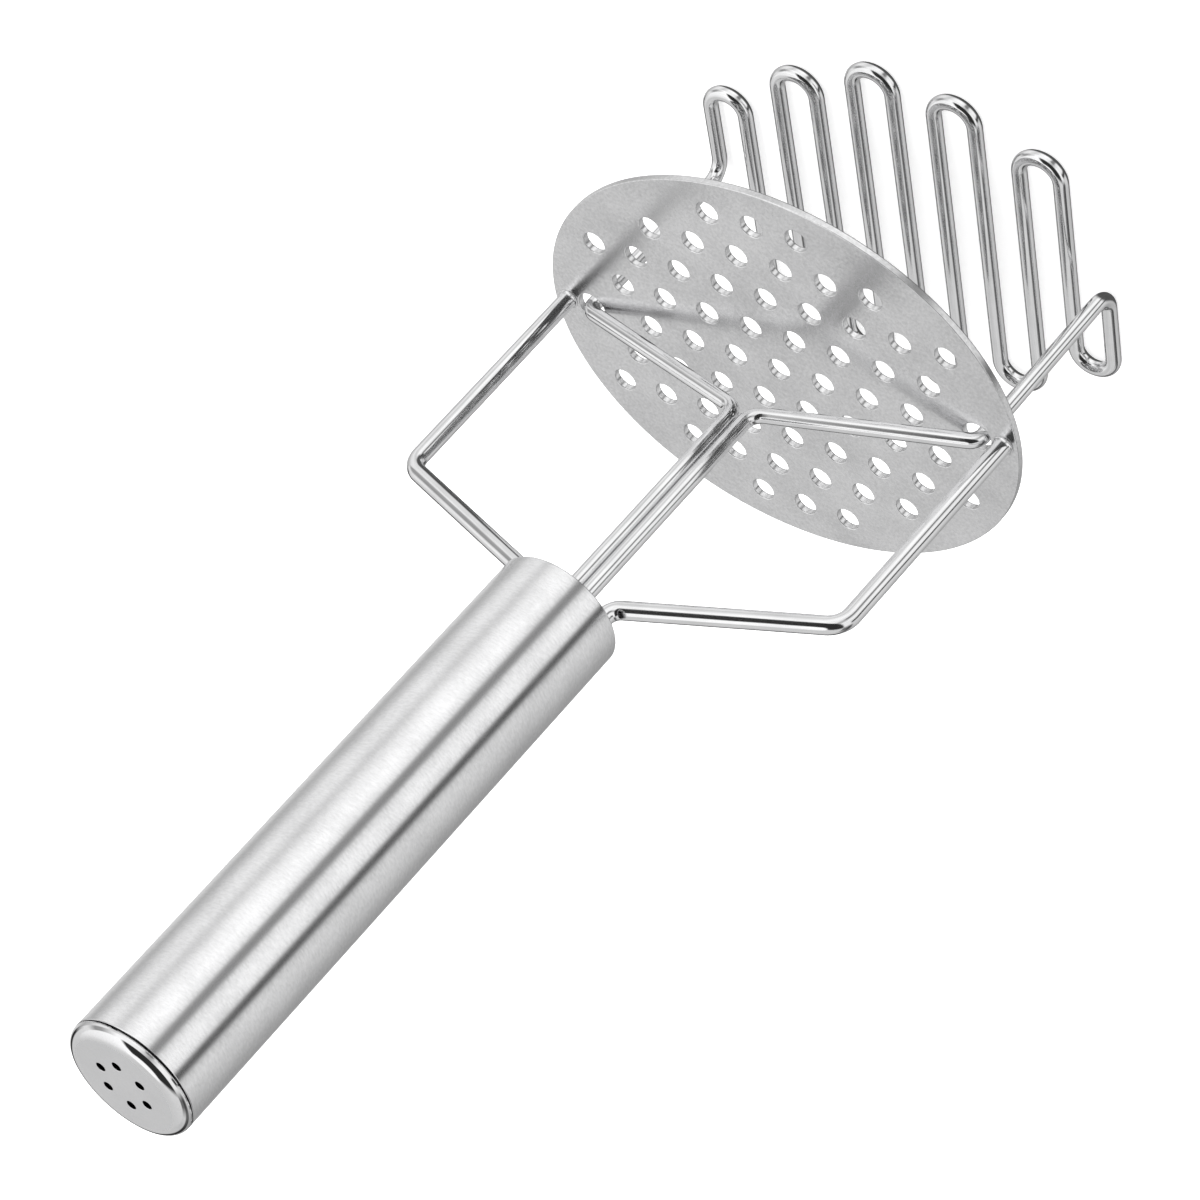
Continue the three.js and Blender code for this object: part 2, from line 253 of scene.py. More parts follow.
def revolved(profile: np.ndarray, sides: int = 160) -> Skin:
    """A surface of revolution about Z.

    A point at radius r and height z goes to (r cos a, r sin a, z) for each angle a round the axis.

    Args:
        profile: (radius, height) rows, closed or ending on the axis.
        sides: faces round the axis.

    Returns:
        The skin.
    """
    grid = np.empty((len(profile), sides, 3))
    grid[..., :2] = profile[:, :1, None] * circle(sides)
    grid[..., 2] = profile[:, 1:]
    skin = Skin()
    skin.add_grid(grid)
    return skin


# ---- wire


@dataclass(frozen=True)
class Corner:
    """A corner of a bent wire.

    Args:
        x: its place, in millimetres.
        y: the same.
        z: the same.
        bend: radius of the wire's centreline round it.
    """

    x: float
    y: float
    z: float
    bend: float = 0.0

    @property
    def point(self) -> np.ndarray:
        """Its place as an array."""
        return np.array((self.x, self.y, self.z))


def turned_about(axis: np.ndarray, vector: np.ndarray, angles: np.ndarray) -> np.ndarray:
    """A vector turned about an axis by each of several angles.

    v turned by a is v cos a + (axis x v) sin a + axis (axis . v)(1 - cos a).

    Args:
        axis: a unit vector.
        vector: the vector to turn.
        angles: the angles, in radians.

    Returns:
        One turned vector a row.
    """
    cosines, sines = np.cos(angles)[:, None], np.sin(angles)[:, None]
    along = axis * (axis @ vector)
    return vector * cosines + np.cross(axis, vector) * sines + along * (1 - cosines)


@dataclass
class BentWire:
    """A round wire bent along a line of corners.

    Args:
        diameter: of the wire.
        corners: its ends and the corners between.
        sides: faces round it.
        bend_step: the turn between two rings of a bend, in radians.
        foot_flare: how much wider than the wire its first end is, where a weld has upset it.
        foot_height: the length over which it widens.
    """

    diameter: float
    corners: Sequence[Corner]
    sides: int = 28
    bend_step: float = math.radians(6)
    foot_flare: float = 0.0
    foot_height: float = 0.8

    def stations(self) -> tuple[np.ndarray, np.ndarray, np.ndarray]:
        """The rings of the wire, with the first spoke carried round each bend untwisted.

        Returns:
            The rings' centres, directions and first spokes.
        """
        points = np.array([corner.point for corner in self.corners])
        runs = unit(np.diff(points, axis=0))
        seed = np.array((0.0, 1.0, 0.0))
        spoke = unit(seed - runs[0] * (seed @ runs[0]))
        centres, ways, spokes = [points[:1]], [runs[:1]], [spoke[None]]
        for corner, inward, outward in zip(self.corners[1:-1], runs[:-1], runs[1:]):
            turn = math.acos(float(np.clip(inward @ outward, -1, 1)))
            axis = unit(np.cross(inward, outward))
            setback = corner.bend * math.tan(turn / 2)
            centre = corner.point + unit(outward - inward) * corner.bend / math.cos(turn / 2)
            angles = np.linspace(0, turn, max(2, math.ceil(turn / self.bend_step)) + 1)
            centres.append(centre + turned_about(axis, corner.point - inward * setback - centre, angles))
            ways.append(turned_about(axis, inward, angles))
            spokes.append(turned_about(axis, spoke, angles))
            spoke = spokes[-1][-1]
        centres.append(points[-1:])
        ways.append(runs[-1:])
        spokes.append(spoke[None])
        return self.with_supports(np.vstack(centres), np.vstack(ways), np.vstack(spokes))

    def with_supports(
        self, centres: np.ndarray, ways: np.ndarray, spokes: np.ndarray
    ) -> tuple[np.ndarray, np.ndarray, np.ndarray]:
        """Adds a ring just inside each end of the long straights, so that their shading stays straight.

        Args:
            centres: the rings' centres.
            ways: their directions.
            spokes: their first spokes.

        Returns:
            The same with the added rings.
        """
        reach = SUPPORT_REACH * self.diameter
        lengths = np.linalg.norm(np.diff(centres, axis=0), axis=1)
        keep = np.concatenate((lengths > TINY_RUN, (True,)))
        centres, ways, spokes = centres[keep], ways[keep], spokes[keep]
        spans = np.linalg.norm(np.diff(centres, axis=0), axis=1)
        long_runs = np.flatnonzero(spans > LONG_RUN * reach)
        sources = np.concatenate((np.arange(len(centres)), long_runs, long_runs + 1))
        shift = np.repeat((0, reach, -reach), (len(centres), len(long_runs), len(long_runs)))
        order = np.argsort(sources + np.sign(shift) / 3, kind="stable")
        sources, shift = sources[order], shift[order]
        return centres[sources] + ways[sources] * shift[:, None], ways[sources], spokes[sources]

    def skin(self) -> Skin:
        """The wire's surface: radius * (spoke cos a + (way x spoke) sin a) round each ring's centre."""
        return swept(*self.stations(), self.diameter / 2, self.sides, self.foot_flare, self.foot_height)


def swept(
    centres: np.ndarray,
    ways: np.ndarray,
    spokes: np.ndarray,
    radius: float,
    sides: int,
    flare: float = 0.0,
    flare_height: float = 1.0,
) -> Skin:
    """A circle carried along a line, with flat ends whose edges are eased.

    At distance s from the first end the radius is r + flare * (1 - s / height) squared, down to s = height.

    Args:
        centres: the circle's centre at each station.
        ways: the line's direction there.
        spokes: a unit vector across the line there.
        radius: of the circle.
        sides: faces round it.
        flare: how much wider the first end is.
        flare_height: how far that reaches.

    Returns:
        The closed skin, with a chart of (angle round, distance along) in millimetres.
    """
    if flare > 0:
        steps = np.linspace(0, flare_height, FLARE_RINGS + 1)[1:]
        centres = np.vstack((centres[:1], centres[0] + ways[0] * steps[:, None], centres[1:]))
        ways, spokes = (np.vstack((np.repeat(rows[:1], len(steps), axis=0), rows)) for rows in (ways, spokes))
    along = np.concatenate(((0,), np.cumsum(np.linalg.norm(np.diff(centres, axis=0), axis=1))))
    radii = radius + flare * np.clip(1 - along / flare_height, 0, 1) ** 2
    angles = TURN * np.arange(sides) / sides
    across = np.cross(ways, spokes)
    ring = np.cos(angles)[None, :, None] * spokes[:, None] + np.sin(angles)[None, :, None] * across[:, None]
    grid = centres[:, None] + radii[:, None, None] * ring
    chart = np.stack(np.broadcast_arrays(radius * np.abs(angles - math.pi)[None], along[:, None]), axis=-1)
    ease = END_EASE * radius
    head_ring = centres[0] + (radii[0] - ease) * ring[0]
    tail_ring = centres[-1] + (radii[-1] - ease) * ring[-1]
    grid[0] += ways[0] * ease
    grid[-1] -= ways[-1] * ease
    grid = np.concatenate((head_ring[None], grid, tail_ring[None]))
    chart = np.concatenate((chart[:1], chart, chart[-1:]))
    skin = Skin()
    skin.add_grid(grid, chart=chart)
    skin.add_fan(head_ring)
    skin.add_fan(tail_ring)
    return skin


# ---- sheet with holes


@dataclass(frozen=True)
class Loop:
    """A closed line in the plane, and the way out of the metal along it.

    Args:
        points: the line's points.
        outward: a unit vector at each point, out of the metal.
    """

    points: np.ndarray
    outward: np.ndarray

    @classmethod
    def ellipse(cls, half_x: float, half_y: float, sides: int) -> "Loop":
        """An outline (half_x cos a, half_y sin a), whose way out is (cos a / half_x, sin a / half_y)."""
        halves = np.array((half_x, half_y))
        return cls(circle(sides) * halves, unit(circle(sides) / halves))

    @classmethod
    def hole(cls, x: float, y: float, radius: float, sides: int = 32, stretch: float = 0.0) -> "Loop":
        """A round hole, or a slot whose round ends stand stretch from its middle along X."""
        spoke = circle(sides, 0.5)
        shift = np.sign(spoke) * (stretch, 0)
        return cls(np.array((x, y)) + shift + radius * spoke, -spoke)

    def carried(self, profile: np.ndarray) -> np.ndarray:
        """A profile of (distance into the metal, height) carried round the loop, as a grid of points."""
        flat = self.points[None] - profile[:, :1, None] * self.outward[None]
        height = np.broadcast_to(profile[:, 1:, None], flat.shape[:2] + (1,))
        return np.concatenate((flat, height), axis=-1)


def face_with_holes(
    outline: np.ndarray, holes: Sequence[np.ndarray], height: float
) -> tuple[np.ndarray, np.ndarray]:
    """A level face with round holes, in triangles.

    The outline and the holes are meshed together, and then the triangles whose three corners are all on one
    hole's edge are left out, because they fill it.

    Args:
        outline: the face's outer points.
        holes: each hole's points, round its middle.
        height: of the face.

    Returns:
        The points and the triangles.
    """
    loops = [outline, *holes]
    counts = [len(loop) for loop in loops]
    starts = np.cumsum([0, *counts[:-1]])
    edges = [
        (int(first + i), int(first + (i + 1) % count))
        for first, count in zip(starts, counts)
        for i in range(count)
    ]
    made = delaunay_2d_cdt([Vector(point) for point in np.vstack(loops)], edges, [], 0, MERGE_EDGE)
    points = np.array([(*point, height) for point in made[0]])
    triangles = np.array([list(face) for face in made[2]])
    owners = np.repeat(np.arange(len(loops)), counts)[triangles]
    in_hole = (owners[:, 0] > 0) & (owners == owners[:, :1]).all(axis=1)
    return points, triangles[~in_hole]


def punched_sheet(
    outline: Loop,
    holes: Sequence[Loop],
    top: float,
    bottom: float,
    ease: float,
    rim: np.ndarray | None = None,
) -> Skin:
    """A level sheet with holes, whose edges are all eased.

    Each edge's profile runs from the top face round an arc of radius ease, down the wall and round another.

    Args:
        outline: the sheet's edge.
        holes: its holes.
        top: height of its upper face.
        bottom: height of its lower face.
        ease: radius of the eased edges.
        rim: another profile for the outer edge, from the top face to the bottom one.

    Returns:
        The closed skin.
    """
    corners = [(2 * ease, top, 0), (0, top, ease), (0, bottom, ease), (2 * ease, bottom, 0)]
    wall = rounded_profile(corners, 3)[2:-2]
    rim = wall if rim is None else rim
    skin = Skin()
    edges = [outline.carried(rim), *(hole.carried(wall) for hole in holes)]
    for grid in edges:
        skin.add_grid(grid)
    for row in (0, -1):
        rings = [grid[row, :, :2] for grid in edges]
        skin.add(*face_with_holes(rings[0], rings[1:], float(edges[0][row, 0, 2])))
    return skin


# ---- finishes


class Sig:
    """A shader socket that Python's operators work on, each adding the node for it."""

    def __init__(self, graph: "Graph", socket: bpy.types.NodeSocket) -> None:
        """Wraps a socket of a graph."""
        self.graph = graph
        self.socket = socket

    def math(self, operation: str, *others: "Sig | float", clamp: bool = False) -> "Sig":
        """A Math node's result for this value and others."""
        settings = {"operation": operation, "use_clamp": clamp}
        return self.graph.node("ShaderNodeMath", settings, dict(enumerate((self, *others)))).out(0)

    def __add__(self, other: "Sig | float") -> "Sig":
        """self + other."""
        return self.math("ADD", other)

    def __sub__(self, other: "Sig | float") -> "Sig":
        """self - other."""
        return self.math("SUBTRACT", other)

    def __rsub__(self, other: float) -> "Sig":
        """other - self."""
        return (self * -1.0) + other

    def __mul__(self, other: "Sig | float") -> "Sig":
        """self * other."""
        return self.math("MULTIPLY", other)

    def __truediv__(self, other: "Sig | float") -> "Sig":
        """self / other."""
        return self.math("DIVIDE", other)

    __radd__ = __add__
    __rmul__ = __mul__

    def step(self, low: float, high: float) -> "Sig":
        """0 below low, 1 above high and smooth between."""
        inputs = {0: self, 1: low, 2: high, 3: 0.0, 4: 1.0}
        return self.graph.node("ShaderNodeMapRange", {"interpolation_type": "SMOOTHSTEP"}, inputs).out(0)


class Made:
    """A node that has been added, and its outputs."""

    def __init__(self, graph: "Graph", node: bpy.types.Node) -> None:
        """Wraps a node of a graph."""
        self.graph = graph
        self.node = node

    def out(self, which: int | str) -> Sig:
        """One of its outputs, by place or by name."""
        return Sig(self.graph, self.node.outputs[which])


class Graph:
    """The nodes of one material or world."""

    def __init__(self, owner: bpy.types.Material | bpy.types.World) -> None:
        """Empties the owner's nodes."""
        owner.use_nodes = True
        self.tree = owner.node_tree
        self.tree.nodes.clear()

    def node(self, kind: str, settings: dict[str, object] | None = None, inputs: dict | None = None) -> Made:
        """Adds any node.

        Args:
            kind: the node's type.
            settings: its properties, set before its sockets.
            inputs: a value or a link for each socket, by place or by name.

        Returns:
            The node, wrapped.
        """
        node = self.tree.nodes.new(kind)
        for name, value in (settings or {}).items():
            setattr(node, name, value)
        for which, value in (inputs or {}).items():
            if isinstance(value, Sig):
                self.tree.links.new(value.socket, node.inputs[which])
            else:
                node.inputs[which].default_value = value
        return Made(self, node)

    def axes(self, vector: Sig) -> tuple[Sig, Sig, Sig]:
        """A vector's x, y and z."""
        split = self.node("ShaderNodeSeparateXYZ", {}, {0: vector})
        return split.out(0), split.out(1), split.out(2)

    def object_point(self) -> Sig:
        """The point in the object's own frame, in metres."""
        return self.node("ShaderNodeTexCoord").out("Object")

    def cylindrical(self) -> tuple[Sig, Sig]:
        """The point's distance from the object's Z axis, sqrt(x * x + y * y), and its height."""
        x, y, z = self.axes(self.object_point())
        return (x * x + y * y).math("SQRT"), z

    def surface_point(self) -> Sig:
        """The piece's own chart: millimetres round it and along it."""
        return self.node("ShaderNodeUVMap", {"uv_map": "surface"}).out(0)

    def scaled(self, vector: Sig, by: tuple[float, float, float]) -> Sig:
        """A vector stretched along each axis."""
        return self.node("ShaderNodeVectorMath", {"operation": "MULTIPLY"}, {0: vector, 1: by}).out(0)

    def noise(self, vector: Sig, scale: float, detail: float, roughness: float = 0.55) -> Sig:
        """Smooth noise from 0 to 1 at a point."""
        inputs = {"Vector": vector, "Scale": scale, "Detail": detail, "Roughness": roughness}
        return self.node("ShaderNodeTexNoise", {}, inputs).out(0)

    def mixed(self, share: Sig, first: "Sig | Sequence[float]", second: Sequence[float]) -> Sig:
        """A colour between two others."""
        inputs = {0: share, 6: first if isinstance(first, Sig) else (*first, 1.0), 7: (*second, 1.0)}
        return self.node("ShaderNodeMix", {"data_type": "RGBA"}, inputs).out(2)

    def bump(self, height: Sig, distance: float, under: Sig | None = None) -> Sig:
        """A normal from a height from 0 to 1 that stands for the distance in metres, over another normal."""
        inputs = {"Height": height, "Strength": 1.0, "Distance": distance}
        return self.node("ShaderNodeBump", {}, inputs | ({"Normal": under} if under else {})).out(0)

    def surface(self, inputs: dict[str, object]) -> None:
        """Ends a material with one Principled shader."""
        shader = self.node("ShaderNodeBsdfPrincipled", {}, inputs)
        self.node("ShaderNodeOutputMaterial", {}, {"Surface": shader.out("BSDF")})


@dataclass(frozen=True)
class Finish:
    """A metal or plastic finish.

    Args:
        name: the material's name.
        colour: its base colour.
        worn: the colour of its darker patches.
        roughness: its mean roughness.
        spread: how far the roughness varies.
        metallic: 1 for metal.
        grain: stretch of its grain along each axis, in cycles a metre.
        grain_height: depth of the grain, in metres.
        wave: cycles a metre of its slow unevenness.
        wave_height: depth of that, in metres.
        follows: whether the grain follows the piece's own chart.
        contrast: how strongly patches and grain show in the colour.
    """

    name: str
    colour: tuple[float, float, float]
    worn: tuple[float, float, float]
    roughness: float
    spread: float
    metallic: float = 1.0
    grain: tuple[float, float, float] = (1500.0, 1500.0, 1500.0)
    grain_height: float = 4e-6
    wave: float = 60.0
    wave_height: float = 0.0
    follows: bool = False
    contrast: float = 1.2

    def roughness_of(self, graph: Graph, patches: Sig, fine: Sig) -> Sig:
        """The roughness over the surface, from the slow patches and the fine grain."""
        return (patches + fine - 1.0) * self.spread + self.roughness

    def painted_shade_of(self, graph: Graph) -> Sig | None:
        """How far painted shade darkens the surface, from 0 to 1, or nothing where the finish paints none."""
        return None

    def make(self) -> bpy.types.Material:
        """Makes the material: fine grain and slow patches in its colour, its roughness and its bump, and painted
        shade in its colour where the finish gives it.

        Returns:
            The material.
        """
        material = bpy.data.materials.new(self.name)
        graph = Graph(material)
        place = graph.object_point()
        chart = graph.surface_point() if self.follows else place
        fine = graph.noise(graph.scaled(chart, self.grain), 1.0, 2.0)
        patches = graph.noise(place, self.wave, 3.0)
        normal = graph.bump(fine, self.grain_height)
        if self.wave_height > 0:
            normal = graph.bump(patches, self.wave_height, normal)
        share = (patches + fine - 1.0) * self.contrast
        colour = graph.mixed(share.math("ADD", WORN_SHARE, clamp=True), self.colour, self.worn)
        # Painted shade: where the finish gives a mask, the colour is darkened to the near-black shade colour,
        # for the shade in seams, vents and the bore.
        shade = self.painted_shade_of(graph)
        if shade is not None:
            colour = graph.mixed(shade, colour, PAINTED_SHADE_COLOUR)
        roughness = self.roughness_of(graph, patches, fine)
        inputs = {"Base Color": colour, "Metallic": self.metallic, "Roughness": roughness, "Normal": normal}
        graph.surface(inputs)
        return material


@dataclass(frozen=True)
class TubeFinishWithPaintedShade(Finish):
    """A tube's finish, with shade painted on the edge at its head and inside.

    Args:
        seam: height from which shade is painted on the edge, in metres.
        bore: radius inside which all is painted with shade.
    """

    seam: float = 0.0
    bore: float = 0.0

    def painted_shade_of(self, graph: Graph) -> Sig:
        """Painted shade above the seam and inside the bore."""
        radius, height = graph.cylindrical()
        above = height.step(self.seam - SOFT, self.seam)
        return above + (1 - radius.step(self.bore, self.bore + SOFT))


@dataclass(frozen=True)
class CapFinishWithPaintedShade(Finish):
    """A cap polished round its rim and satin on its flat end, with shade painted in its vents and below its
    seam.

    Args:
        satin: roughness of the flat end.
        rim_from: radius at which the polish starts, in metres.
        rim_to: radius from which all is polished.
        seam: height below which shade is painted.
        face: height of the flat end, below which shade is painted in the vents.
    """

    satin: float = 0.3
    rim_from: float = 0.0100
    rim_to: float = 0.0106
    seam: float = 0.0
    face: float = 0.0

    def painted_shade_of(self, graph: Graph) -> Sig:
        """Painted shade below the seam, and below the flat end inside the rim, where the vents are."""
        radius, height = graph.cylindrical()
        below_seam = 1 - height.step(self.seam, self.seam + SOFT)
        below_face = 1 - height.step(self.face - SOFT, self.face)
        inside = 1 - radius.step(self.rim_from * VENT_REACH, self.rim_from)
        return below_seam.math("MAXIMUM", below_face * inside)

    def roughness_of(self, graph: Graph, patches: Sig, fine: Sig) -> Sig:
        """Satin inside the rim, and polished out of it."""
        rim = graph.cylindrical()[0].step(self.rim_from, self.rim_to)
        satin = (patches + fine - 1.0) * self.spread + self.satin
        return satin * (1 - rim) + self.roughness * rim


FINISHES: dict[Slot, Finish] = {
    Slot.TUBE: TubeFinishWithPaintedShade(
        "satin_tube_steel_with_painted_shade", (0.86, 0.86, 0.865), (0.72, 0.72, 0.725), 0.185, 0.07,
        grain=(900.0, 900.0, 2400.0), grain_height=2.2e-6, wave=110.0, contrast=1.5,
        seam=0.23612, bore=0.01205,
    ),
    Slot.CAP: CapFinishWithPaintedShade(
        "polished_cap_steel_with_painted_shade", (0.84, 0.84, 0.845), (0.76, 0.76, 0.765), 0.06, 0.05,
        grain=(2600.0, 2600.0, 2600.0), grain_height=0.4e-6, wave=120.0,
        seam=0.23646, face=0.23862,
    ),
    Slot.WIRE: Finish(
        "polished_wire_steel", (0.87, 0.87, 0.875), (0.70, 0.70, 0.705), 0.12, 0.06,
        grain=(3.0, 0.10, 1.0), grain_height=3e-6, wave=150.0, follows=True,
    ),
    Slot.SHEET: Finish(
        "satin_sheet_steel", (0.84, 0.84, 0.845), (0.64, 0.64, 0.645), 0.22, 0.10,
        grain_height=1.2e-6, wave=75.0, wave_height=2.0e-5, contrast=1.6,
    ),
    Slot.WELD: Finish(
        "weld_metal", (0.52, 0.50, 0.48), (0.30, 0.27, 0.25), 0.45, 0.2,
        grain_height=3e-5, wave=700.0, wave_height=4e-5,
    ),
    Slot.SPRING: Finish(
        "spring_wire_steel", (0.56, 0.56, 0.57), (0.42, 0.42, 0.43), 0.25, 0.1,
        grain=(3.0, 0.15, 1.0), grain_height=4e-6, wave=300.0, follows=True,
    ),
    Slot.NYLON: Finish(
        "black_nylon", (0.030, 0.030, 0.032), (0.018, 0.018, 0.020), 0.5, 0.12, metallic=0.0,
        grain=(3000.0, 3000.0, 3000.0), grain_height=8e-6, wave=200.0, wave_height=1e-5,
    ),
}


@cache
def material_of(slot: Slot) -> bpy.types.Material:
    """The material of a slot's finish, made once."""
    return FINISHES[slot].make()


def place_piece(skin: Skin, name: str, body: Body, slot: Slot, *nodes: str) -> bpy.types.Object:
    """Builds a piece, gives it its finish, and sets it on its body in place of its CAD nodes.

    Args:
        skin: the piece's surface.
        name: the piece's name.
        body: the body that it moves with.
        slot: the record's slot of its finish.
        nodes: the CAD nodes that it stands for.

    Returns:
        The piece.
    """
    piece = skin.build(name)
    piece.data.materials.append(material_of(slot))
    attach(piece, body.value)
    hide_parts(*nodes)
    LOG.info("%s: %d faces", name, len(piece.data.polygons))
    return piece


def refinish(node: str, slot: Slot) -> None:
    """Gives a CAD node that stays its finish."""
    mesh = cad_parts[node].data
    mesh.materials.clear()
    mesh.materials.append(material_of(slot))
    LOG.info("%s keeps its CAD mesh", node)


# ---- sub-assemblies


@dataclass
class Handle:
    """The tube, both its caps and the spring seat in it.

    Args:
        bore: diameter of the tube's bore.
        lip: radius of the tube's eased edges.
        cap_round: radius of the end cap's polished rim.
        cap_wall: its thickness.
        cap_skirt: how deep it goes into the tube.
        fit: gap between the cap and the tube.
        cap_edge: radius of the edges round its seam and its vents.
        skirt_edge: radius of the skirt's edges, and of the front cap's.
        skirt_root: radius of the corner between the seam and the skirt.
        vent: diameter of a vent.
        vent_ring: radius of the ring of vents.
        vents: how many there are.
        stub_x: where the frame's wires pass the front cap.
        stub_hole: diameter of their holes.
        slot_half: half the distance between the centres of the pair's slot.
        slot_width: width of that slot.
    """

    bore: float = 23.4
    lip: float = 0.25
    cap_round: float = 2.2
    cap_wall: float = 1.6
    cap_skirt: float = 6.0
    fit: float = 0.3
    cap_edge: float = 0.12
    skirt_edge: float = 0.2
    skirt_root: float = 0.1
    vent: float = 1.9
    vent_ring: float = 4.95
    vents: int = 6
    stub_x: float = 8.6
    stub_hole: float = 4.2
    slot_half: float = 1.7
    slot_width: float = 5.1

    def tube(self) -> None:
        """The tube: a wall between bore and outside, with eased edges."""
        box = Span.of("handle_tube")
        outer, inner = box.size[0] / 2, self.bore / 2
        foot, head = box.low[2], box.high[2]
        middle = (inner + outer) / 2
        profile = rounded_profile(
            [
                (middle, foot, 0), (outer, foot, self.lip), (outer, head, self.lip), (inner, head, self.lip),
                (inner, foot, self.lip), (middle, foot, 0),
            ]
        )
        skin = revolved(profile, 192)
        place_piece(skin, "tube_shell", Body.HANDLE, Slot.TUBE, "handle_tube")

    def end_cap(self) -> None:
        """The end cap: a flat end with a ring of vents, a round polished rim and a skirt in the tube."""
        box = Span.of("end_cap")
        outer, top = box.size[0] / 2, box.high[2]
        seam = Span.of("handle_tube").high[2] + self.fit
        skirt = self.bore / 2 - self.fit
        inside = skirt - self.cap_wall
        bottom = seam - self.cap_skirt
        corners = [
            (outer - self.cap_round - 1, top, 0), (outer, top, self.cap_round), (outer, seam, self.cap_edge),
            (skirt, seam, self.skirt_root), (skirt, bottom, self.skirt_edge),
            (inside, bottom, self.skirt_edge), (inside, top - self.cap_wall, 0),
        ]
        profile = rounded_profile(corners, 9)[1:]
        outline = Loop.ellipse(outer, outer, 192)
        rim = np.column_stack((outer - profile[:, 0], profile[:, 1]))
        vents = [Loop.hole(x, y, self.vent / 2, 28) for x, y in self.vent_ring * circle(self.vents, 0.5)]
        skin = punched_sheet(outline, vents, top, top - self.cap_wall, self.cap_edge, rim)
        place_piece(skin, "cap_end", Body.HANDLE, Slot.CAP, "end_cap")

    def front_cap(self) -> None:
        """The front cap: a disc with a hole for each frame wire and a slot for the sliding pair."""
        box = Span.of("front_cap")
        holes = [Loop.hole(side * self.stub_x, 0, self.stub_hole / 2) for side in (-1, 1)]
        holes.append(Loop.hole(0, 0, self.slot_width / 2, 48, self.slot_half))
        outline = Loop.ellipse(box.size[0] / 2, box.size[1] / 2, 160)
        skin = punched_sheet(outline, holes, box.high[2], box.low[2], self.skirt_edge)
        place_piece(skin, "cap_front", Body.HANDLE, Slot.SHEET, "front_cap")

    def build(self) -> None:
        """Makes every piece of the handle."""
        self.tube()
        self.end_cap()
        self.front_cap()
        refinish("spring_seat", Slot.NYLON)


@dataclass
class Frame:
    """The perforated plate and the two bent wires that carry it.

    Args:
        wire: diameter of the wires.
        foot_inset: between a foot and the plate's end.
        foot_depth: how far a foot reaches into the plate.
        lean: how far a leg leans inwards.
        shoulder_drop: the shoulder's depth below the handle.
        shoulder_bend: radius of its bend.
        stub_drop: depth of the upper corner below the handle.
        stub_bend: radius of its bend.
        flare: how far the foot's weld stands out.
        hole: diameter of the plate's holes.
        hole_pitch: between holes in a row.
        row_pitch: between rows.
        row_counts: holes in the middle row, then in the rows outwards on each side.
        leg_hole_x: where the holes for the masher's legs are.
        leg_hole: their diameter.
        ease: radius of the punched edges.
    """

    wire: float = 3.6
    foot_inset: float = 1.3
    foot_depth: float = 0.05
    lean: float = 0.8
    shoulder_drop: float = 18.9
    shoulder_bend: float = 4.5
    stub_drop: float = 4.3
    stub_bend: float = 3.0
    flare: float = 0.35
    hole: float = 4.8
    hole_pitch: float = 9.87
    row_pitch: float = 8.65
    row_counts: tuple[int, ...] = (7, 8, 9, 6, 3)
    leg_hole_x: float = 43.8
    leg_hole: float = 6.0
    ease: float = 0.22

    def plate(self) -> None:
        """The oval plate with its rows of holes."""
        box = Span.of("perforated_plate")
        places = [
            ((i - (count - 1) / 2) * self.hole_pitch, side * row * self.row_pitch)
            for row, count in enumerate(self.row_counts)
            for side in ((1, -1) if row else (1,))
            for i in range(count)
        ]
        holes = [Loop.hole(x, y, self.hole / 2) for x, y in places]
        holes += [Loop.hole(side * self.leg_hole_x, 0, self.leg_hole / 2, 40) for side in (-1, 1)]
        outline = Loop.ellipse(box.size[0] / 2, box.size[1] / 2, 288)
        skin = punched_sheet(outline, holes, box.high[2], box.low[2], self.ease)
        place_piece(skin, "oval_plate", Body.HANDLE, Slot.SHEET, "perforated_plate")

    def side_wire(self, side: int, suffix: str) -> None:
        """One frame wire, from its welded foot to its end in the handle.

        Args:
            side: 1 for the wire at +X and -1 for the one at -X.
            suffix: the end of its name.
        """
        plate, tube = Span.of("perforated_plate"), Span.of("handle_tube")
        node = f"frame_wire_{suffix}"
        foot_x = plate.high[0] - self.foot_inset - self.wire / 2
        stub_x = Handle.stub_x
        corners = (
            Corner(side * foot_x, 0, plate.high[2] - self.foot_depth),
            Corner(side * (foot_x - self.lean), 0, tube.low[2] - self.shoulder_drop, self.shoulder_bend),
            Corner(side * stub_x, 0, tube.low[2] - self.stub_drop, self.stub_bend),
            Corner(side * stub_x, 0, Span.of(node).high[2]),
        )
        skin = BentWire(self.wire, corners, foot_flare=self.flare).skin()
        place_piece(skin, f"wire_frame_{suffix}", Body.HANDLE, Slot.WIRE, node)

    def build(self) -> None:
        """Makes every piece of the frame."""
        self.plate()
        for side, suffix in ((-1, "left"), (1, "right")):
            self.side_wire(side, suffix)
            refinish(f"frame_weld_{suffix}", Slot.WELD)


